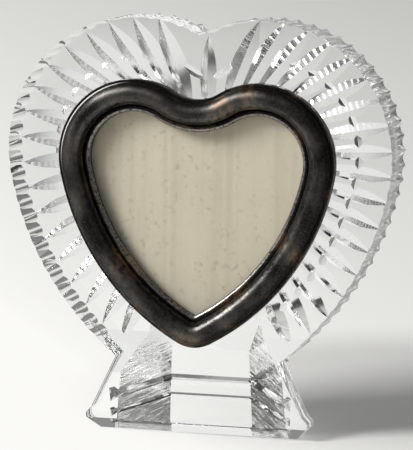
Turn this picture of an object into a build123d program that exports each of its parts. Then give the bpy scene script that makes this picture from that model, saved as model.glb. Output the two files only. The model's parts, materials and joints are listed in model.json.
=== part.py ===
# Heart shaped photo frame: a cut crystal heart on its own foot, with a silver insert that holds the picture
# Millimetres. Origin at the centre of the foot's underside, +Z up, the picture faces -Y
import os
from math import acos, asin, atan2, cos, degrees, radians, sin, sqrt

from build123d import *

os.makedirs("parts", exist_ok=True)

# The heart, measured at the bezel's outer edge. Every other outline is an inset of it
lobe_centre_x = 20.1
lobe_centre_height = 89.1
lobe_radius = 24.7
lobe_end_angle = -11.5
side_radius = 78.0
notch_radius = 13.5
sight_inset = 10.2
sight_tip_radius = 1.0

# Crystal plate and foot
lean = 2.0
plate_thickness = 17.5
rim_width = 17.7
opening_inset = 3.0
opening_drop = 1.6
neck_height = 24.0
ankle_half_width = 34.3
ankle_height = 7.4
foot_half_width = 36.1
toe_height = 5.4
foot_depth = 28.5
wing_thickness = 9.0
thinning_height = 17.7
full_height = 30.5
base_chamfer = 3.8
cut_overrun = 1.0

# Spur: the block behind the wings that the heart stands on, with two lines cut round it
spur_half_width = 28.8
spur_rear_half_width = 13.6
spur_draft = 4.0
spur_rear_height = 21.5
spur_top = 36.0
spur_line_heights = (14.4, 8.8)
spur_line_widths = (2.2, 1.3)
spur_line_fall = 4.0

# Scalloped rim: flutes that deepen from the front edge to the back edge
flutes_per_side = 33
flute_end_height = 29.0
flute_land = 0.3
flute_front_depth = 0.25
flute_back_depth = 0.85

# Leaf cuts ground into the back by a V-edged wheel, and the mitre groove that joins them
leaves_per_side = 18
leaf_outset = 4.2
leaf_end_height = 38.6
leaf_aim_height = 89.0
leaf_spread = 2.9
leaf_tip_overrun = 0.3
wheel_radius = 50.0
mitre_outset = 4.4
mitre_end_height = 36.5
mitre_depth = 0.8
mitre_width = 2.4

# Bezel: lip, half-round crown and sight bead, pressed from sheet
bezel_lip_width = 0.8
bezel_lip_height = 3.0
bezel_wall = 0.8
crown_end_inset = 8.0
crown_end_height = 1.8
crown_height = 6.2
bead_height = 2.9

# Insert: sleeve, grip and what it holds, front to back
sliding_clearance = 0.2
seat_clearance = 0.05
gasket_thickness = 0.8
gasket_length = 13.5
gasket_setback = 0.5
sleeve_wall = 0.8
sleeve_setback = 1.5
flange_front = 0.9
flange_cover = 0.2
stack_clearance = 0.25
glass_thickness = 2.0
picture_thickness = 0.3
card_thickness = 1.5
pad_margin = 3.0
board_thickness = 3.0
velvet_thickness = 0.6
back_recess = 1.9

# Ribbon tab on the back
tab_width = 10.0
tab_length = 18.0
tab_thickness = 0.8
tab_gap = 0.1
tab_height = 81.0

# Centres of the heart's arcs, shared by all insets
tip_radius = sight_inset + sight_tip_radius
end_direction = radians(lobe_end_angle)
side_centre_x = lobe_centre_x - (side_radius - lobe_radius) * cos(end_direction)
side_centre_height = lobe_centre_height - (side_radius - lobe_radius) * sin(end_direction)
tip_centre_height = side_centre_height - sqrt((side_radius - tip_radius) ** 2 - side_centre_x ** 2)
notch_centre_height = lobe_centre_height + sqrt((lobe_radius + notch_radius) ** 2 - lobe_centre_x ** 2)
tip_angle = atan2(tip_centre_height - side_centre_height, -side_centre_x)
notch_angle = atan2(notch_centre_height - lobe_centre_height, -lobe_centre_x)

# Local X runs across the plate, local Y up it and local Z towards the viewer
front = Plane(
    origin=(0, -foot_depth / 2, 0),
    x_dir=(1, 0, 0),
    z_dir=(0, -cos(radians(lean)), sin(radians(lean))),
)
back = front.offset(-plate_thickness)

# The same plane moved down to where the opening sits, a little low in the plate
seat = Plane(origin=front.origin - front.y_dir * opening_drop, x_dir=front.x_dir, z_dir=front.z_dir)


def lobe_start(inset):
    # Angle at which the lobe leaves the notch, or meets the other lobe where there is no notch left
    if notch_radius + inset > 0:
        return notch_angle
    return acos(-lobe_centre_x / (lobe_radius - inset))


def half_heart(inset, side_end):
    # Arcs of the right half from the notch down to an angle on the side, for an open BuildLine
    start = lobe_start(inset)
    if notch_radius + inset > 0:
        notch_end = degrees(notch_angle) + 180
        CenterArc((0, notch_centre_height), notch_radius + inset, 270, notch_end - 270)
    lobe = (lobe_centre_x, lobe_centre_height)
    side = (side_centre_x, side_centre_height)
    CenterArc(lobe, lobe_radius - inset, lobe_end_angle, degrees(start) - lobe_end_angle)
    CenterArc(side, side_radius - inset, degrees(side_end), lobe_end_angle - degrees(side_end))


def heart(inset, plane=Plane.XY):
    # A closed heart at an inset from the bezel's outer edge
    with BuildLine(plane) as outline:
        half_heart(inset, tip_angle)
        CenterArc((0, tip_centre_height), tip_radius - inset, 270, degrees(tip_angle) + 90)
        mirror(about=Plane.YZ)
    return outline.wires()[0]


def side_angle(inset, height):
    # Angle on the side arc at a height up the plate
    return asin((height - side_centre_height) / (side_radius - inset))


def run_length(inset, height):
    # Length of one half of the heart from the top down to a height on the side
    lobe = (lobe_radius - inset) * (lobe_start(inset) - end_direction)
    return lobe + (side_radius - inset) * (end_direction - side_angle(inset, height))


def along(inset, distance):
    # Point and outward direction in the plate, at a distance down the right half from the top
    lobe = (lobe_radius - inset) * (lobe_start(inset) - end_direction)
    if distance < lobe:
        angle = lobe_start(inset) - distance / (lobe_radius - inset)
        centre, radius = Vector(lobe_centre_x, lobe_centre_height), lobe_radius - inset
    else:
        angle = end_direction - (distance - lobe) / (side_radius - inset)
        centre, radius = Vector(side_centre_x, side_centre_height), side_radius - inset
    outward = Vector(cos(angle), sin(angle))
    return centre + outward * radius, outward


def reach(spot, heading, inset):
    # Distance from a point in the right half to an outline, along a heading
    for centre_x, centre_y, radius in (
        (lobe_centre_x, lobe_centre_height, lobe_radius - inset),
        (side_centre_x, side_centre_height, side_radius - inset),
    ):
        offset = spot - Vector(centre_x, centre_y)
        lead = offset.dot(heading)
        distance = sqrt(lead ** 2 - offset.dot(offset) + radius ** 2) - lead
        hit = offset + heading * distance
        if atan2(hit.Y, hit.X) > end_direction:
            break
    return distance


def direction(across, up, forward):
    # A direction in the plate's own axes
    return front.x_dir * across + front.y_dir * up + front.z_dir * forward


def point(across, up, forward):
    # A point in the plate's own axes
    return front.origin + direction(across, up, forward)


# Flutes: tilted cylinders, so that the back edge is scalloped deeper, with a narrow land left between them
flute_planes = []
flute_pitch = run_length(-rim_width, flute_end_height) / flutes_per_side
flute_radius = ((flute_pitch - flute_land) ** 2 / 4 + flute_back_depth ** 2) / (2 * flute_back_depth)
flute_depth = (flute_front_depth + flute_back_depth) / 2
flute_slope = (flute_back_depth - flute_front_depth) / plate_thickness
for index in range(flutes_per_side):
    spot, outward = along(-rim_width, (index + 0.5) * flute_pitch)
    spot = spot + outward * (flute_radius - flute_depth)
    flute_origin = point(spot.X, spot.Y, -plate_thickness / 2)
    flute_axis = direction(outward.X * flute_slope, outward.Y * flute_slope, 1)
    flute_planes.append(Plane(origin=flute_origin, z_dir=flute_axis))

# Leaf cuts: each one is the mark of the same V-edged wheel, run in until its tip breaks the scalloped edge
leaf_pitch = run_length(-leaf_outset, leaf_end_height) / leaves_per_side
leaf_spots = [Vector(0, notch_centre_height - notch_radius + leaf_outset)]
leaf_spots += [along(-leaf_outset, (index + 1) * leaf_pitch)[0] for index in range(leaves_per_side)]
leaf_tip_outset = rim_width - flute_back_depth + leaf_tip_overrun

with BuildPart() as leaf_cutters:
    for spot in leaf_spots:
        aim = (spot - Vector(0, leaf_aim_height)).normalized()
        half_length = reach(spot, aim, -leaf_tip_outset)
        depth = wheel_radius - sqrt(wheel_radius ** 2 - half_length ** 2)
        half_arc = asin(half_length / wheel_radius) * 1.25
        wheel_rise = depth + cut_overrun
        axle = direction(-aim.Y, aim.X, 0)
        hub = point(spot.X, spot.Y, -plate_thickness - wheel_radius + depth)
        start_spoke = direction(-aim.X * sin(half_arc), -aim.Y * sin(half_arc), cos(half_arc))
        with BuildSketch(Plane(origin=hub, x_dir=axle, z_dir=axle.cross(start_spoke))):
            with BuildLine():
                Polyline(
                    (0, wheel_radius),
                    (wheel_rise * leaf_spread / 2, wheel_radius - wheel_rise),
                    (-wheel_rise * leaf_spread / 2, wheel_radius - wheel_rise),
                    close=True,
                )
            make_face()
        revolve(axis=Axis(hub, axle), revolution_arc=degrees(2 * half_arc))

# Spur: a drafted block with slanting sides, closed by a slope that runs up beside the opening's tip
rear = foot_depth / 2
with BuildPart() as spur:
    with BuildSketch():
        with BuildLine():
            Polyline(
                (spur_half_width, wing_thickness - rear - cut_overrun),
                (spur_half_width, wing_thickness - rear),
                (spur_rear_half_width, rear),
                (-spur_rear_half_width, rear),
                (-spur_half_width, wing_thickness - rear),
                (-spur_half_width, wing_thickness - rear - cut_overrun),
                close=True,
            )
        make_face()
    extrude(amount=spur_top, taper=spur_draft)
    with BuildSketch(Plane.YZ):
        with BuildLine():
            Polyline(
                (-rear, 0),
                (rear, 0),
                (rear, spur_rear_height),
                (plate_thickness - rear + spur_top * sin(radians(lean)), spur_top),
                (-rear, spur_top),
                close=True,
            )
        make_face()
    extrude(amount=foot_half_width, both=True, mode=Mode.INTERSECT)

# Lines on the spur: level across the rear face, falling along the slanting sides
side_run = Vector(spur_half_width - spur_rear_half_width, wing_thickness - foot_depth)
side_normal = Vector(-side_run.Y, side_run.X).normalized()
with BuildPart() as spur_lines:
    for height, width in zip(spur_line_heights, spur_line_widths):
        drafted = height * sin(radians(spur_draft))
        corner_turn = side_normal.X / (1 + side_normal.Y)
        corner = Vector(spur_rear_half_width - drafted * corner_turn, rear - drafted, height)
        outer = corner + Vector(side_run.X, side_run.Y, -spur_line_fall)
        for first, last, outward in (
            (Vector(-corner.X, corner.Y, height), corner, Vector(0, 1, 0)),
            (corner, outer, Vector(side_normal.X, side_normal.Y, 0)),
        ):
            run = (last - first).normalized()
            with BuildSketch(Plane(origin=first - run, x_dir=outward, z_dir=run)):
                with BuildLine():
                    Polyline((-width / 2, 0), (width / 2, width), (width / 2, -width), close=True)
                make_face()
            extrude(amount=(last - first).length + 2)

# Crystal: heart and wings in one plate that thins towards the wings, then the spur and every cut
neck_half_width = side_centre_x + (side_radius + rim_width) * cos(side_angle(-rim_width, neck_height))
with BuildLine(back) as mitre_path:
    half_heart(-mitre_outset, side_angle(-mitre_outset, mitre_end_height))
mitre_top = point(0, notch_centre_height - notch_radius + mitre_outset, -plate_thickness)
plate_top = lobe_centre_height + lobe_radius + rim_width + cut_overrun

with BuildPart() as crystal_body:
    with BuildSketch(back):
        make_face(heart(-rim_width).edges())
        with BuildLine():
            Polyline(
                (foot_half_width, -cut_overrun),
                (foot_half_width, toe_height),
                (ankle_half_width, ankle_height),
                (neck_half_width, neck_height),
                (-neck_half_width, neck_height),
                (-ankle_half_width, ankle_height),
                (-foot_half_width, toe_height),
                (-foot_half_width, -cut_overrun),
                close=True,
            )
        make_face()
    extrude(amount=plate_thickness)
    with BuildSketch(Plane(origin=front.origin, x_dir=front.y_dir, z_dir=(1, 0, 0))):
        with BuildLine():
            Polyline(
                (-2 * cut_overrun, 0),
                (plate_top, 0),
                (plate_top, -plate_thickness),
                (full_height, -plate_thickness),
                (thinning_height, -wing_thickness),
                (-2 * cut_overrun, -wing_thickness),
                close=True,
            )
        make_face()
    extrude(amount=plate_top, both=True, mode=Mode.INTERSECT)
    add(spur.part)
    split(bisect_by=Plane.XY, keep=Keep.TOP)
    underside = crystal_body.faces().sort_by(Axis.Z)[0].edges()
    front_edge = underside.sort_by(Axis.Y)[0]
    end_edges = ShapeList([underside.sort_by(Axis.X)[0], underside.sort_by(Axis.X)[-1]])
    chamfer(ShapeList([front_edge]) + end_edges, length=base_chamfer)
    with BuildSketch(seat.offset(cut_overrun)):
        make_face(heart(opening_inset).edges())
    extrude(amount=-foot_depth - 2 * cut_overrun, mode=Mode.SUBTRACT)
    split(bisect_by=Plane.YZ, keep=Keep.TOP)
    add(spur_lines.part, mode=Mode.SUBTRACT)
    with Locations(*flute_planes):
        Cylinder(flute_radius, plate_thickness * 1.5, mode=Mode.SUBTRACT)
    add(leaf_cutters.part, mode=Mode.SUBTRACT)
    with BuildSketch(Plane(origin=mitre_top, x_dir=front.y_dir, z_dir=(1, 0, 0))):
        with BuildLine():
            Polyline((0, mitre_depth), (mitre_width, -mitre_depth), (-mitre_width, -mitre_depth), close=True)
        make_face()
    sweep(path=mitre_path.wires()[0], mode=Mode.SUBTRACT)
    mirror(about=Plane.YZ)
crystal_body.part.label = "crystal_body"

# Bezel: one closed section carried round the heart
lip_inner = bezel_lip_width + bezel_wall
crown_inner = crown_end_inset - bezel_wall
crown_middle = (bezel_lip_width + crown_end_inset) / 2
bead_middle = (crown_end_inset + sight_inset) / 2
with BuildPart() as bezel:
    tip_point = point(0, tip_centre_height - tip_radius - opening_drop, 0)
    with BuildSketch(Plane(origin=tip_point, x_dir=front.y_dir, z_dir=(1, 0, 0))):
        with BuildLine():
            Polyline((lip_inner, bezel_lip_height), (lip_inner, 0), (0, 0), (0, bezel_lip_height),
                     (bezel_lip_width, bezel_lip_height))
            ThreePointArc((bezel_lip_width, bezel_lip_height), (crown_middle, crown_height),
                          (crown_end_inset, crown_end_height))
            ThreePointArc((crown_end_inset, crown_end_height), (bead_middle, bead_height),
                          (sight_inset, crown_end_height))
            Polyline((sight_inset, crown_end_height), (sight_inset, flange_front),
                     (crown_inner, flange_front), (crown_inner, crown_end_height))
            ThreePointArc((crown_inner, crown_end_height), (crown_middle, crown_height - bezel_wall),
                          (lip_inner, bezel_lip_height))
        make_face()
    sweep(path=heart(0, seat))
bezel.part.label = "bezel"

# Insert: a sleeve with a flange that carries the bezel in front and stops the glass behind
gasket_inset = opening_inset + sliding_clearance
sleeve_inset = gasket_inset + gasket_thickness + seat_clearance
stack_inset = sleeve_inset + sleeve_wall + stack_clearance
glass_front = flange_front - sleeve_wall
sleeve_length = plate_thickness - sleeve_setback + glass_front

with BuildPart() as insert_sleeve:
    with BuildSketch(seat.offset(glass_front)):
        make_face(heart(sleeve_inset).edges())
        make_face(heart(sleeve_inset + sleeve_wall).edges(), mode=Mode.SUBTRACT)
    extrude(amount=-sleeve_length)
    with BuildSketch(seat.offset(glass_front)):
        make_face(heart(sleeve_inset).edges())
        make_face(heart(sight_inset - flange_cover).edges(), mode=Mode.SUBTRACT)
    extrude(amount=sleeve_wall)
insert_sleeve.part.label = "insert_sleeve"

with BuildPart() as grip_gasket:
    with BuildSketch(seat.offset(-gasket_setback)):
        make_face(heart(gasket_inset).edges())
        make_face(heart(gasket_inset + gasket_thickness).edges(), mode=Mode.SUBTRACT)
    extrude(amount=-gasket_length)
grip_gasket.part.label = "grip_gasket"


def layer(top, thickness, inset):
    # One flat heart of the stack, from its front face back
    with BuildPart() as sheet:
        with BuildSketch(seat.offset(top)):
            make_face(heart(inset).edges())
        extrude(amount=-thickness)
    return sheet


# The stack behind the flange, each piece resting on the one in front
picture_front = glass_front - glass_thickness
card_front = picture_front - picture_thickness
pad_front = card_front - card_thickness
velvet_back = glass_front - sleeve_length + back_recess
velvet_front = velvet_back + velvet_thickness
board_front = velvet_front + board_thickness

glazing = layer(glass_front, glass_thickness, stack_inset)
picture = layer(picture_front, picture_thickness, stack_inset)
backing_card = layer(card_front, card_thickness, stack_inset)
pressure_pad = layer(pad_front, pad_front - board_front, stack_inset + pad_margin)
back_board = layer(board_front, board_thickness, stack_inset)
back_velvet = layer(velvet_front, velvet_thickness, stack_inset)
glazing.part.label = "glazing"
picture.part.label = "picture"
backing_card.part.label = "backing_card"
pressure_pad.part.label = "pressure_pad"
back_board.part.label = "back_board"
back_velvet.part.label = "back_velvet"

# Ribbon tab: hangs flat on the velvet and lifts about its upper hem
with BuildPart() as pull_tab:
    with BuildSketch(front.offset(velvet_back - tab_gap)):
        with BuildLine():
            Polyline(
                (-tab_width / 2, tab_height - tab_length + tab_width / 2),
                (-tab_width / 2, tab_height + tab_thickness / 2),
                (tab_width / 2, tab_height + tab_thickness / 2),
                (tab_width / 2, tab_height - tab_length + tab_width / 2),
            )
            ThreePointArc(
                (tab_width / 2, tab_height - tab_length + tab_width / 2),
                (0, tab_height - tab_length),
                (-tab_width / 2, tab_height - tab_length + tab_width / 2),
            )
        make_face()
    extrude(amount=-tab_thickness)
    hem = pull_tab.edges().filter_by(Axis.X).sort_by(Axis.Z)
    fillet(hem, radius=tab_thickness * 0.49)
pull_tab.part.label = "pull_tab"

for piece in (crystal_body, bezel, insert_sleeve, grip_gasket, glazing, picture, backing_card,
              pressure_pad, back_board, back_velvet, pull_tab):
    export_step(piece.part, f"parts/{piece.part.label}.step")

hinge = point(0, tab_height, velvet_back - tab_gap - tab_thickness / 2)
print("plate normal", direction(0, 0, 1), "tab hinge", hinge)
print("overall", crystal_body.part.bounding_box().size, "bezel", bezel.part.bounding_box().size)
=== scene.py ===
import json
import math

import bmesh
import bpy
from mathutils import Matrix, Vector, noise


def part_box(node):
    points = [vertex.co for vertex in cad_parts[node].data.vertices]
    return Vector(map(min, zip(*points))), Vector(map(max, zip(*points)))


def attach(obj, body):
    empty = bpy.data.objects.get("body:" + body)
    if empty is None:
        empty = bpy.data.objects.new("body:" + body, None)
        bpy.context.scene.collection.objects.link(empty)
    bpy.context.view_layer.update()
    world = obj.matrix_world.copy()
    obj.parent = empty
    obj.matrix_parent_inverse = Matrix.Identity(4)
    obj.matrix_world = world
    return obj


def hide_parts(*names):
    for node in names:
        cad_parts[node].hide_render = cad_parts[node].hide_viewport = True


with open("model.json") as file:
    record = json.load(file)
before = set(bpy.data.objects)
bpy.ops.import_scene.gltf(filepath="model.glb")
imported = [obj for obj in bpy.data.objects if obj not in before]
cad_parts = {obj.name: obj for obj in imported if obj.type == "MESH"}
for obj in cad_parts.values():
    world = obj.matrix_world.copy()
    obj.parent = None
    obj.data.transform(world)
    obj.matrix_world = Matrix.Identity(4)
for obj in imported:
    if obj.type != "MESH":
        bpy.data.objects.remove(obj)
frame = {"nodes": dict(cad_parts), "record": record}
nodes = frame["nodes"]
joints = {joint["name"]: joint for joint in frame["record"]["behaviour"]["joints"]}
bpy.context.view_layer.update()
scene = bpy.context.scene
scene.view_settings.view_transform = "Standard"
print("frame loaded:", len(nodes), "nodes")


class Wire:  # a socket that works in sums: each operator adds its own Math node
    def __init__(self, tree, socket=None):
        self.tree = tree
        self.socket = socket

    def node(self, kind, settings=None, values=None):
        made = self.tree.nodes.new("ShaderNode" + kind)
        for key, setting in (settings or {}).items():
            setattr(made, key, setting)
        for key, value in (values or {}).items():
            if isinstance(value, Wire):
                self.tree.links.new(value.socket, made.inputs[key])
            else:
                made.inputs[key].default_value = value
        return Wire(self.tree, made.outputs[0])

    def out(self, name):
        return Wire(self.tree, self.socket.node.outputs[name])

    def maths(self, operation, second=0.0):
        return self.node("Math", {"operation": operation}, {0: self, 1: second})

    def vector(self, operation, second=(0, 0, 0)):
        return self.node("VectorMath", {"operation": operation}, {0: self, 1: second})

    def dot(self, second):
        return self.vector("DOT_PRODUCT", second).out("Value")

    def axes(self):
        split = self.node("SeparateXYZ", None, {0: self})
        return [split.out(axis) for axis in "XYZ"]

    def mixed(self, factor, first, second):
        made = self.node("Mix", {"data_type": "RGBA"}, {0: factor, 6: first, 7: second})
        return Wire(self.tree, made.socket.node.outputs[2])

    def step(self, low, high):
        return self.node("MapRange", {"interpolation_type": "SMOOTHSTEP"}, {0: self, 1: low, 2: high})

    def __add__(self, other):
        return self.maths("ADD", other)

    def __sub__(self, other):
        return self.maths("SUBTRACT", other)

    def __mul__(self, other):
        return self.maths("MULTIPLY", other)

    def __rsub__(self, other):
        return self.node("Math", {"operation": "SUBTRACT"}, {0: other, 1: self})

    __radd__ = __add__
    __rmul__ = __mul__


def newMaterial(name, fixed):
    made = bpy.data.materials.new(name)
    made.use_nodes = True
    tree = made.node_tree
    shader = next(n for n in tree.nodes if n.type == "BSDF_PRINCIPLED")
    for key, value in fixed.items():
        shader.inputs[key].default_value = value
    wire = Wire(tree)
    place = wire.node("TexCoord").out("Object")
    return made, wire, place, shader


def feed(wire, shader, **links):
    for key, value in links.items():
        socket = shader.inputs[" ".join(part.capitalize() for part in key.split("_"))]
        wire.tree.links.new(value.socket, socket)


def grain(wire, place, scale, detail=4.0, stretch=(1, 1, 1)):  # noise, drawn out where stretch is small
    moved = wire.node("Mapping", None, {"Vector": place, "Scale": stretch})
    return wire.node("TexNoise", None, {"Vector": moved, "Scale": scale, "Detail": detail})


def bumped(wire, height, depth=1.0):
    return wire.node("Bump", None, {"Height": height, "Distance": depth})


def dress(obj, made):
    obj.data.materials.clear()
    obj.data.materials.append(made)


# plate axes: across, up the plate and out towards the viewer
outward = Vector(joints["insert_slide"]["axis"]).normalized()
across = Vector((1, 0, 0))
upward = outward.cross(across)
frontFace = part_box("crystal_body")[0].y

# noises are given as scale, detail and stretch, and blends as the values where they start and end
crystalGlass = {
    "ior": 1.545, "tint": (0.985, 0.99, 0.988, 1.0), "ripples": (110.0, 1.0), "rippleDepth": 0.00002,
    "streaks": (750.0, 3.0), "streakDepth": 0.00022, "streakDraw": 0.12, "streakFall": 0.45,
    "edgeLine": 0.0045, "edgeDepth": 0.0009,
    "neck": 0.024, "spurTop": 0.036, "spurFront": -0.005, "blur": 0.001,
    "spurSide": (0.4, 0.6), "wingSide": (0.6, 0.8), "wallTurn": (0.3, 0.5), "flatTurn": (0.93, 0.985),
    "rimRoughness": 0.08, "rightRim": 0.30, "rightRimFrom": (0.0, 0.03), "leafRoughness": 0.18,
    "rightLeafFrom": (0.0, 0.02), "rightLeafClear": 0.7, "wingRoughness": 0.12}
made, wire, place, shader = newMaterial("clearCrystal", {
    "Base Color": crystalGlass["tint"], "IOR": crystalGlass["ior"], "Transmission Weight": 1.0})
x, y, z = place.axes()
facing = wire.node("TexCoord").out("Normal")
sideways = facing.axes()[0].maths("ABSOLUTE")
headOn = facing.dot(outward).maths("ABSOLUTE")
blur = crystalGlass["blur"]
behind = y.step(crystalGlass["spurFront"], crystalGlass["spurFront"] + blur)
onSpur = (1 - z.step(crystalGlass["spurTop"] - 2 * blur, crystalGlass["spurTop"])) * behind \
    * sideways.step(*crystalGlass["spurSide"])
onWing = (1 - z.step(crystalGlass["neck"], crystalGlass["neck"] + blur)) \
    * sideways.step(*crystalGlass["wingSide"]) * (1 - behind)
ripples = grain(wire, place, *crystalGlass["ripples"]) * crystalGlass["rippleDepth"]
aside = x.maths("ABSOLUTE")
falling = wire.node("CombineXYZ", None, {  # wheel marks run down and outwards on the spur's sides
    "X": aside * crystalGlass["streakDraw"], "Y": y * crystalGlass["streakDraw"],
    "Z": z + aside * crystalGlass["streakFall"]})
streaks = grain(wire, falling, *crystalGlass["streaks"]) * onSpur * crystalGlass["streakDepth"]
lines = (y * (2 * math.pi / crystalGlass["edgeLine"])).maths("SINE") * onWing * crystalGlass["edgeDepth"]
onHeart = z.step(crystalGlass["neck"], crystalGlass["neck"] + 2 * blur)
offWall = headOn.step(*crystalGlass["wallTurn"])
onRim = (1 - offWall) * onHeart
onLeaf = offWall * (1 - headOn.step(*crystalGlass["flatTurn"])) * onHeart \
    * (1 - x.step(*crystalGlass["rightLeafFrom"]) * crystalGlass["rightLeafClear"])
worn = crystalGlass["rimRoughness"] \
    + x.step(*crystalGlass["rightRimFrom"]) * (crystalGlass["rightRim"] - crystalGlass["rimRoughness"])
feed(wire, shader, normal=bumped(wire, ripples + streaks + lines),
     roughness=onRim * worn + onLeaf * crystalGlass["leafRoughness"] + onWing * crystalGlass["wingRoughness"])
dress(nodes["crystal_body"], made)

silver = {
    "black": (0.0135, 0.013, 0.0125, 1.0), "grey": (0.046, 0.044, 0.041, 1.0),
    "brown": (0.145, 0.092, 0.052, 1.0), "rubbed": (0.60, 0.59, 0.56, 1.0), "highlightTone": (0.86, 0.85, 0.82, 1.0),
    "patches": (70.0, 6.0), "mottle": (520.0, 5.0), "pits": (1700.0, 3.0),
    "patchDepth": 0.0001, "mottleDepth": 0.00006, "pitDepth": 0.00005,
    "heartCentre": (0, 0, 0.085), "inside": (0.0, 0.2), "innerFrom": (0.22, 0.40), "innerTo": (0.60, 0.75),
    "crown": 0.0062, "crownBand": 0.0012, "crownPatches": (0.35, 0.6), "crownWear": 0.10,
    "bead": 0.0030, "beadBand": (0.0004, 0.0012), "beadPits": (0.3, 0.6), "beadWear": 0.45,
    "slopeMottle": (0.3, 0.55), "slopeWear": 0.06, "greyPits": (0.40, 0.72), "greyShare": 0.8,
    "brownPatches": (0.49, 0.62), "brownMottle": (0.32, 0.60), "brownLeast": 0.35,
    "cleanFrom": (0.0, 0.04), "cleanShare": 0.8,
    # painted highlight: a bright, less metallic band on the outer shoulder at the upper left, where the key
    # lamp's reflection falls
    "paintedHighlight": 0.88, "highlightBand": (0.03, 0.10), "highlightFrom": (0.040, 0.052), "highlightDull": 0.6,
    "roughness": 0.32, "polished": 0.20, "mottleRoughness": 0.22, "highlightRoughness": 0.2}
made, wire, place, shader = newMaterial("tarnishedSilver", {})
x, y, z = place.axes()
rise = (y - frontFace) * outward.y + z * outward.z  # height over the crystal's front
fromCentre = place.vector("SUBTRACT", silver["heartCentre"]).vector("MULTIPLY", (1, 0, 1)).vector("NORMALIZE")
slope = wire.node("TexCoord").out("Normal").dot(fromCentre)
inward = 0 - slope
upperLeft = z - silver["heartCentre"][2] - x
patches = grain(wire, place, *silver["patches"])
mottle = grain(wire, place, *silver["mottle"])
pits = grain(wire, place, *silver["pits"])
innerSlope = inward.step(*silver["innerFrom"]) * (1 - inward.step(*silver["innerTo"]))
# painted highlight on the outer shoulder, upper left only
paintedHighlight = (1 - (slope - silver["paintedHighlight"]).maths("ABSOLUTE").step(*silver["highlightBand"])) \
    * upperLeft.step(*silver["highlightFrom"])
beadWall = (1 - (rise - silver["bead"]).maths("ABSOLUTE").step(*silver["beadBand"])) \
    * inward.step(*silver["inside"])
brownness = patches.step(*silver["brownPatches"]) * mottle.step(*silver["brownMottle"]) \
    * (1 - upperLeft.step(*silver["cleanFrom"]) * silver["cleanShare"])
rubbing = rise.step(silver["crown"] - silver["crownBand"], silver["crown"]) \
    * patches.step(*silver["crownPatches"]) * silver["crownWear"] \
    + innerSlope * mottle.step(*silver["slopeMottle"]) * silver["slopeWear"] \
    + beadWall * pits.step(*silver["beadPits"]) * silver["beadWear"]
tone = wire.mixed(pits.step(*silver["greyPits"]) * silver["greyShare"], silver["black"], silver["grey"])
tone = wire.mixed(brownness * (silver["brownLeast"] + pits), tone, silver["brown"])
tone = wire.mixed(rubbing, tone, silver["rubbed"])
# the painted highlight goes into the colour, the metalness and the roughness
feed(wire, shader, base_color=wire.mixed(paintedHighlight, tone, silver["highlightTone"]),
     metallic=1 - paintedHighlight * silver["highlightDull"],
     roughness=silver["roughness"] + mottle * silver["mottleRoughness"]
     + paintedHighlight * silver["highlightRoughness"]
     - (innerSlope + beadWall).maths("MINIMUM", 1.0) * (silver["roughness"] - silver["polished"]),
     normal=bumped(wire, patches * silver["patchDepth"] + mottle * silver["mottleDepth"]
                   + pits * silver["pitDepth"]))
dress(nodes["bezel"], made)

sleeveMetal = {
    "plate": (0.50, 0.50, 0.48, 1.0), "dull": (0.30, 0.29, 0.27, 1.0), "cloudScale": 120.0,
    "dullFrom": (0.4, 0.7), "brushing": (900.0, 3.0, (0.05, 1.0, 0.05)), "brushDepth": 0.00004,
    "roughness": 0.25, "brushRoughness": 0.25}
made, wire, place, shader = newMaterial("sleeveSheet", {"Metallic": 1.0})
brushing = grain(wire, place, *sleeveMetal["brushing"])
cloudy = grain(wire, place, sleeveMetal["cloudScale"]).step(*sleeveMetal["dullFrom"])
feed(wire, shader, base_color=wire.mixed(cloudy, sleeveMetal["plate"], sleeveMetal["dull"]),
     roughness=sleeveMetal["roughness"] + brushing * sleeveMetal["brushRoughness"],
     normal=bumped(wire, brushing, sleeveMetal["brushDepth"]))
dress(nodes["insert_sleeve"], made)

gripStrip = {
    "tint": (0.80, 0.81, 0.80, 1.0), "alpha": 0.25, "cloudScale": 300.0,
    "roughness": 0.3, "cloudRoughness": 0.3}
made, wire, place, shader = newMaterial("clearGrip", {
    "Base Color": gripStrip["tint"], "Alpha": gripStrip["alpha"]})
cloudy = grain(wire, place, gripStrip["cloudScale"])
feed(wire, shader, roughness=gripStrip["roughness"] + cloudy * gripStrip["cloudRoughness"])
dress(nodes["grip_gasket"], made)

printPaper = {
    "cream": (0.535, 0.470, 0.330, 1.0), "deep": (0.440, 0.378, 0.248, 1.0), "speck": (0.22, 0.18, 0.11, 1.0),
    "stripes": (330.0, 2.0, (1.0, 0.02, 0.02)), "stripeEdge": (0.35, 0.7), "stripeShare": 0.6,
    "clouds": (45.0, 5.0), "cloudEdge": (0.3, 0.8), "cloudShare": 0.4,
    "specks": (620.0, 2.0), "speckEdge": (0.59, 0.70), "speckClouds": (0.36, 0.54), "speckShare": 0.42,
    "toothScale": 2400.0, "toothDepth": 0.00003, "roughness": 0.65}
made, wire, place, shader = newMaterial("blankPrint", {"Roughness": printPaper["roughness"]})
stripes = grain(wire, place, *printPaper["stripes"])
clouds = grain(wire, place, *printPaper["clouds"])
specks = grain(wire, place, *printPaper["specks"]).step(*printPaper["speckEdge"]) \
    * clouds.step(*printPaper["speckClouds"]) * printPaper["speckShare"]
depth = stripes.step(*printPaper["stripeEdge"]) * printPaper["stripeShare"] \
    + clouds.step(*printPaper["cloudEdge"]) * printPaper["cloudShare"]
paper = wire.mixed(depth, printPaper["cream"], printPaper["deep"])
tooth = grain(wire, place, printPaper["toothScale"])
feed(wire, shader, base_color=wire.mixed(specks, paper, printPaper["speck"]),
     normal=bumped(wire, tooth, printPaper["toothDepth"]))
dress(nodes["picture"], made)


def fibrous(name, board):  # pressed fibres, from one colour to another
    made, wire, place, shader = newMaterial(name, {"Roughness": board["roughness"]})
    fibres = grain(wire, place, *board["fibres"])
    feed(wire, shader, base_color=wire.mixed(fibres.step(*board["fibreEdge"]), board["from"], board["to"]),
         normal=bumped(wire, fibres, board["fibreDepth"]))
    return made


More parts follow.
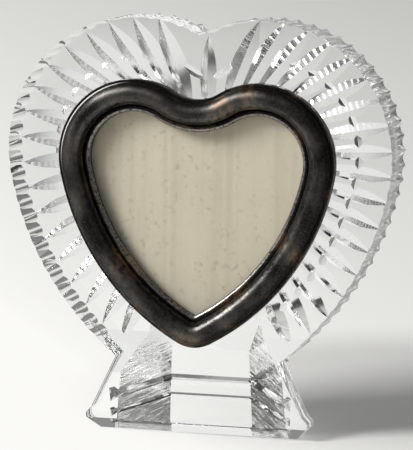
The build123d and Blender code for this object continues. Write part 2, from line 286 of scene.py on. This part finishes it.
cardStock = {
    "from": (0.24, 0.225, 0.19, 1.0), "to": (0.17, 0.16, 0.135, 1.0), "roughness": 0.85,
    "fibres": (900.0, 6.0, (1.0, 1.0, 0.4)), "fibreEdge": (0.35, 0.65), "fibreDepth": 0.00006}
dress(nodes["backing_card"], fibrous("greyCard", cardStock))

hardBoard = {
    "from": (0.07, 0.038, 0.018, 1.0), "to": (0.15, 0.085, 0.042, 1.0), "roughness": 0.7,
    "fibres": (700.0, 7.0, (1.0, 1.0, 0.3)), "fibreEdge": (0.3, 0.7), "fibreDepth": 0.0001}
dress(nodes["back_board"], fibrous("hardboard", hardBoard))
print("rigid pieces dressed")

hearts = {"merge": 1e-6, "flat": math.radians(1), "faceOn": 0.9}  # for pieces cut to the heart's outline


def mergedCopy(node):  # the node's own outline as a bmesh, with its flat faces whole
    shape = bmesh.new()
    shape.from_mesh(nodes[node].data)
    bmesh.ops.remove_doubles(shape, verts=shape.verts, dist=hearts["merge"])
    bmesh.ops.dissolve_limit(shape, angle_limit=hearts["flat"], verts=shape.verts, edges=shape.edges)
    return shape


def softenRim(shape, offset, segments):  # the edges between a flat face of the heart and its side wall
    rim = [e for e in shape.edges if len(e.link_faces) == 2
           and sum(abs(f.normal.dot(outward)) > hearts["faceOn"] for f in e.link_faces) == 1]
    bmesh.ops.bevel(shape, geom=rim, offset=offset, affect="EDGES", segments=segments, profile=0.5,
                    material=-1)


def newPiece(name, shape, body, made, bend=40):
    mesh = bpy.data.meshes.new(name)
    shape.to_mesh(mesh)
    shape.free()
    mesh.shade_smooth()
    mesh.set_sharp_from_angle(angle=math.radians(bend))
    piece = bpy.data.objects.new(name, mesh)
    scene.collection.objects.link(piece)
    dress(piece, made)
    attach(piece, body)
    return piece


coverGlass = {
    "tint": (0.96, 0.98, 0.97, 1.0), "alpha": 0.07, "arris": 0.00025, "gap": 0.00004,
    "smearScale": 60.0, "smearEdge": (0.6, 0.8), "roughness": 0.02, "smearRoughness": 0.05}
made, wire, place, shader = newMaterial("coverGlass", {
    "Base Color": coverGlass["tint"], "Alpha": coverGlass["alpha"]})
smears = grain(wire, place, coverGlass["smearScale"]).step(*coverGlass["smearEdge"])
feed(wire, shader, roughness=coverGlass["roughness"] + smears * coverGlass["smearRoughness"])
shape = mergedCopy("glazing")
softenRim(shape, coverGlass["arris"], segments=1)
innerFace = min(shape.faces, key=lambda face: face.calc_center_median().dot(outward))
bmesh.ops.translate(shape, verts=innerFace.verts, vec=outward * coverGlass["gap"])  # clear of the print
pane = newPiece("coverGlass", shape, "insert", made, bend=20)
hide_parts("glazing")

foam = {
    "pale": (0.72, 0.70, 0.64, 1.0), "poreShade": (0.46, 0.44, 0.38, 1.0), "roughness": 0.95, "sheen": 0.2,
    "edgeRound": 0.0022, "poreScale": 1100.0, "poreEdge": (0.05, 0.5), "poreDepth": 0.00025}
made, wire, place, shader = newMaterial("softFoam", {
    "Roughness": foam["roughness"], "Sheen Weight": foam["sheen"]})
# painted shade: the pores' hollows are coloured darker
pores = wire.node("TexVoronoi", None, {"Vector": place, "Scale": foam["poreScale"]}).step(*foam["poreEdge"])
feed(wire, shader, base_color=wire.mixed(pores, foam["poreShade"], foam["pale"]),
     normal=bumped(wire, pores, foam["poreDepth"]))
shape = mergedCopy("pressure_pad")
softenRim(shape, foam["edgeRound"], segments=5)
pad = newPiece("foamPad", shape, "picture_stack", made)
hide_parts("pressure_pad")

velvet = {
    "dark": (0.018, 0.018, 0.022, 1.0), "light": (0.048, 0.048, 0.056, 1.0), "roughness": 0.9, "sheen": 0.6,
    "sheenRoughness": 0.4, "pile": (5200.0, 2.0), "pileDepth": 0.00012,
    "brushing": (70.0, 3.0, (1.0, 1.0, 0.45)), "brushEdge": (0.35, 0.7), "brushShare": 0.6,
    "edgeRound": 0.00028, "cell": 0.0025, "faceOn": 0.95, "unevenness": 0.00007, "waves": 160,
    "area": 0.00423}
made, wire, place, shader = newMaterial("blackVelvet", {
    "Roughness": velvet["roughness"], "Sheen Weight": velvet["sheen"],
    "Sheen Roughness": velvet["sheenRoughness"]})
pile = grain(wire, place, *velvet["pile"])
brushed = grain(wire, place, *velvet["brushing"])
feed(wire, shader, base_color=wire.mixed(brushed.step(*velvet["brushEdge"]), velvet["dark"], velvet["light"]),
     normal=bumped(wire, pile + brushed * velvet["brushShare"], velvet["pileDepth"]))
shape = mergedCopy("back_velvet")
softenRim(shape, velvet["edgeRound"], segments=3)
low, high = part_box("back_velvet")
for along, length in ((across, high.x - low.x), (upward, high.z - low.z)):
    count = round(length / velvet["cell"])
    for cut in range(1, count):
        bmesh.ops.bisect_plane(shape, geom=[*shape.verts, *shape.edges, *shape.faces],
                               plane_co=low + along * (length * cut / count), plane_no=along)
shape.normal_update()
for vert in shape.verts:
    if vert.normal.dot(outward) < -velvet["faceOn"]:
        swell = 0.5 + 0.5 * noise.noise(vert.co * velvet["waves"])  # from 0 to 1
        vert.co += outward * velvet["unevenness"] * swell
facing = newPiece("velvetFacing", shape, "back", made)
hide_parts("back_velvet")

ribbon = {
    "width": 0.010, "drop": 0.018, "hem": 0.0034, "fold": 0.0002, "thick": 0.0003, "cutLength": 0.0218,
    "area": 0.000208, "rows": 40, "columns": 12, "foldSteps": 6, "curl": 0.00004, "curlWaves": 500,
    "leastEnd": 0.02,
    "dark": (0.030, 0.030, 0.036, 1.0), "light": (0.095, 0.095, 0.108, 1.0), "sheen": 0.3, "gloss": 0.6,
    "weftScale": 900.0, "weftWander": 0.6, "weftShare": 0.7,
    "warpScale": 1500.0, "warpWander": 0.3, "warpShare": 0.3, "warpHeight": 0.5,
    "weaveDepth": 0.00004, "roughness": 0.38, "weftRoughness": 0.2}
made, wire, place, shader = newMaterial("satinRibbon", {
    "Sheen Weight": ribbon["sheen"], "Specular IOR Level": ribbon["gloss"]})
weft = wire.node("TexWave", {"bands_direction": "Z"}, {
    "Vector": place, "Scale": ribbon["weftScale"], "Distortion": ribbon["weftWander"]})
warp = wire.node("TexWave", {"bands_direction": "X"}, {
    "Vector": place, "Scale": ribbon["warpScale"], "Distortion": ribbon["warpWander"]})
weave = weft * ribbon["weftShare"] + warp * ribbon["warpShare"]
feed(wire, shader, base_color=wire.mixed(weave, ribbon["dark"], ribbon["light"]),
     roughness=ribbon["roughness"] + weft * ribbon["weftRoughness"],
     normal=bumped(wire, weft + warp * ribbon["warpHeight"], ribbon["weaveDepth"]))
hinge = Vector(joints["tab_fold"]["pos_m"])
path = [(-ribbon["hem"], -ribbon["fold"])]  # up the turned hem, over the fold and down to the free end
for turn in range(ribbon["foldSteps"] + 1):
    angle = math.pi * (1 - turn / ribbon["foldSteps"])
    path.append((ribbon["fold"] * math.sin(angle), ribbon["fold"] * math.cos(angle)))
for row in range(1, ribbon["rows"] + 1):
    down = ribbon["drop"] * row / ribbon["rows"]
    path.append((-down, ribbon["fold"] - ribbon["curl"] * math.sin(down * ribbon["curlWaves"])))
half = ribbon["width"] / 2
start = hinge + upward * path[0][0] + outward * path[0][1]
shape = bmesh.new()
bmesh.ops.create_grid(shape, x_segments=ribbon["columns"], y_segments=1, size=half)
bmesh.ops.delete(shape, geom=[v for v in shape.verts if v.co.y > 0], context="VERTS")
bmesh.ops.translate(shape, verts=shape.verts, vec=start + Vector((0, half, 0)))
row = list(shape.verts)
for (fromUp, fromOut), (toUp, toOut) in zip(path, path[1:]):
    edges = {e for v in row for e in v.link_edges if not e.link_faces or all(w in row for w in e.verts)}
    grown = bmesh.ops.extrude_edge_only(shape, edges=list(edges))["geom"]
    row = [part for part in grown if isinstance(part, bmesh.types.BMVert)]
    bmesh.ops.translate(shape, verts=row, vec=upward * (toUp - fromUp) + outward * (toOut - fromOut))
    spare = max(ribbon["drop"] + toUp, ribbon["leastEnd"] * half)  # length still to come
    if spare < half:  # the end is half round
        reach = math.sqrt(half ** 2 - (half - spare) ** 2) / max(v.co.x for v in row)
        bmesh.ops.scale(shape, verts=row, vec=(reach, 1, 1))
bmesh.ops.recalc_face_normals(shape, faces=shape.faces)
bmesh.ops.solidify(shape, geom=shape.faces[:], thickness=ribbon["thick"])
tab = newPiece("ribbonTab", shape, "tab", made, bend=50)
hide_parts("pull_tab")

thread = {
    "stitches": 8, "length": 0.0008, "width": 0.0002, "span": 0.94, "downHem": 0.75, "around": 10, "along": 6,
    "twistScale": 2500.0, "twistDepth": 0.00003, "roughness": 0.55}
stitchSize = Matrix.Diagonal((thread["length"], thread["width"], thread["width"], 1))
stitchRow = hinge - upward * ribbon["hem"] * thread["downHem"] \
    - outward * (ribbon["fold"] + ribbon["thick"] / 2)
shape = bmesh.new()
for stitch in range(thread["stitches"]):
    side = ribbon["width"] * ((stitch + 0.5) / thread["stitches"] - 0.5) * thread["span"]
    bmesh.ops.create_uvsphere(shape, u_segments=thread["around"], v_segments=thread["along"], radius=0.5,
                              matrix=Matrix.Translation(stitchRow + across * side) @ stitchSize)
made, wire, place, shader = newMaterial("blackThread", {"Roughness": thread["roughness"]})
twist = wire.node("TexWave", {"bands_direction": "DIAGONAL"}, {
    "Vector": place, "Scale": thread["twistScale"]})
feed(wire, shader, base_color=wire.mixed(twist, ribbon["dark"], ribbon["light"]),
     normal=bumped(wire, twist, thread["twistDepth"]))
stitching = newPiece("hemStitches", shape, "tab", made, bend=60)
print("soft pieces made")


def sentByGlass(ray):  # 1 where glass or metal sent the ray on
    return ray.out("Is Transmission Ray").maths("MAXIMUM", ray.out("Is Glossy Ray"))


def awayFrom(centre, x, y):  # distance over the floor
    byX = x - centre[0]
    byY = y - centre[1]
    return (byX * byX + byY * byY).maths("SQRT")


floorSet = {
    "size": 8.0, "top": -0.0002, "roughness": 0.7, "gloss": 0.2,
    "near": (0.965, 0.96, 0.935, 1.0), "far": (0.53, 0.53, 0.51, 1.0),
    # painted light falloff and painted shade on the floor
    "paintedShadeSlant": 1.5, "lead": 0.02, "falloff": 0.64,
    "horizon": (0.12, 0.12, 0.115, 1.0), "horizonFrom": (1.3, 2.8),
    "shadowAt": (0.05, 0.07), "shadowReach": (0.06, 0.125), "glowNear": 0.09, "glowFar": 0.98,
    "glassGlow": 0.90, "shadowEdge": (0.025, 0.07),
    "brightAt": (-0.10, 0.40), "brightReach": (0.60, 1.15), "dark": 0.10, "unlit": (0, 0, 0, 1)}
shape = bmesh.new()
bmesh.ops.create_grid(shape, x_segments=1, y_segments=1, size=floorSet["size"] / 2,
                      matrix=Matrix.Translation((0, 0, floorSet["top"])))
floorMesh = bpy.data.meshes.new("floor")
shape.to_mesh(floorMesh)
shape.free()
floor = bpy.data.objects.new("floor", floorMesh)
scene.collection.objects.link(floor)
made, wire, place, shader = newMaterial("paleFloor", {
    "Roughness": floorSet["roughness"], "Specular IOR Level": floorSet["gloss"]})
x, y = place.axes()[:2]
# painted light falloff: the floor's colour darkens away from the front and towards the horizon, and painted
# shade darkens it to the right, where the heart's shadow stretches
paintedFalloff = (y + x * floorSet["paintedShadeSlant"] + floorSet["lead"]).maths("MAXIMUM").maths("POWER", floorSet["falloff"])
tone = wire.mixed(paintedFalloff, floorSet["near"], floorSet["far"])
tone = wire.mixed(y.step(*floorSet["horizonFrom"]), tone, floorSet["horizon"])
feed(wire, shader, base_color=tone)
ray = wire.node("LightPath")
glass = sentByGlass(ray)
dimming = awayFrom(floorSet["brightAt"], x, y).step(*floorSet["brightReach"]) * (1 - floorSet["dark"])
glow = wire.node("Emission", None, {  # painted pool of light: the floor glows, and glass sees it darker away from brightAt
    "Color": wire.mixed(glass * dimming, tone, floorSet["unlit"])})
beside = awayFrom(floorSet["shadowAt"], x, y).step(*floorSet["shadowReach"])
toCamera = floorSet["glowNear"] + beside * (floorSet["glowFar"] - floorSet["glowNear"])
shaded = x.step(*floorSet["shadowEdge"]) * floorSet["glassGlow"]
toGlass = floorSet["glassGlow"] - shaded + beside * (1 - floorSet["glassGlow"] + shaded)
shown = ray.out("Is Camera Ray") * toCamera + glass * toGlass
both = wire.node("MixShader", None, {0: shown, 1: Wire(wire.tree, shader.outputs[0]), 2: glow})
ground = next(n for n in wire.tree.nodes if n.type == "OUTPUT_MATERIAL")
wire.tree.links.new(both.socket, ground.inputs["Surface"])
dress(floor, made)

keyLamp = {"place": (-0.76, -0.60, 0.74), "aim": (0, 0, 0.06), "size": 0.44, "watts": 15.6}
lampData = bpy.data.lights.new("keyLeft", "AREA")
lampData.shape = "SQUARE"
lampData.size = keyLamp["size"]
lampData.energy = keyLamp["watts"]
lamp = bpy.data.objects.new("keyLeft", lampData)
lamp.location = keyLamp["place"]
lamp.rotation_euler = (Vector(keyLamp["aim"]) - Vector(keyLamp["place"])).to_track_quat("-Z", "Y").to_euler()
scene.collection.objects.link(lamp)

studio = {
    "tint": (1.0, 1.0, 0.985, 1.0), "wall": 0.85, "room": 0.20, "behind": (0.25, 0.75), "leftward": 0.6,
    "wallTop": (0.30, 0.335), "screenFrom": (0.10, 0.25), "screenTo": (0.60, 0.80), "screenTop": (0.12, 0.22),
    "fill": 0.06, "sideFill": 0.26, "fillFrom": (-0.75, -0.35, 0.56)}
world = bpy.data.worlds.new("studio")
scene.world = world
world.use_nodes = True
wire = Wire(world.node_tree)
sight = wire.node("TexCoord").out("Generated")
x, y, z = sight.axes()
screen = x.step(*studio["screenFrom"]) * (1 - x.step(*studio["screenTo"])) \
    * (1 - z.step(*studio["screenTop"]))
wall = (y - x * studio["leftward"]).step(*studio["behind"]) * (1 - screen) * (1 - z.step(*studio["wallTop"]))
ray = wire.node("LightPath")
lit = sight.dot(studio["fillFrom"]).maths("MAXIMUM")
level = ray.out("Is Diffuse Ray") * (studio["fill"] + lit * studio["sideFill"]) \
    + ray.out("Is Camera Ray") * studio["wall"] \
    + sentByGlass(ray) * (studio["room"] + wall * (studio["wall"] - studio["room"]))
sky = world.node_tree.nodes["Background"]
world.node_tree.links.new(level.socket, sky.inputs["Strength"])
sky.inputs["Color"].default_value = studio["tint"]
print("stage set")

cameraSet = {
    "azimuth": 16.6, "elevation": 9.3, "distance": 1.3, "target": (0, -0.014, 0.070), "pixelsPerMetre": 3200,
    "targetPixel": (195.2, 216.0), "image": (413, 450), "sensor": 36.0, "reach": 50}
azimuth = math.radians(cameraSet["azimuth"])
elevation = math.radians(cameraSet["elevation"])
overFloor = math.cos(elevation)
back = Vector((math.sin(azimuth) * overFloor, -math.cos(azimuth) * overFloor, math.sin(elevation)))
cameraData = bpy.data.cameras.new("photoCamera")
width, height = cameraSet["image"]
cameraData.sensor_width = cameraSet["sensor"]
cameraData.lens = cameraSet["pixelsPerMetre"] * cameraSet["distance"] / height * cameraSet["sensor"]
cameraData.shift_x = (width / 2 - cameraSet["targetPixel"][0]) / height
cameraData.shift_y = (cameraSet["targetPixel"][1] - height / 2) / height
cameraData.clip_end = cameraSet["reach"]
camera = bpy.data.objects.new("photoCamera", cameraData)
camera.location = Vector(cameraSet["target"]) + back * cameraSet["distance"]
camera.rotation_euler = (-back).to_track_quat("-Z", "Y").to_euler()
scene.collection.objects.link(camera)
scene.camera = camera
print("camera set")
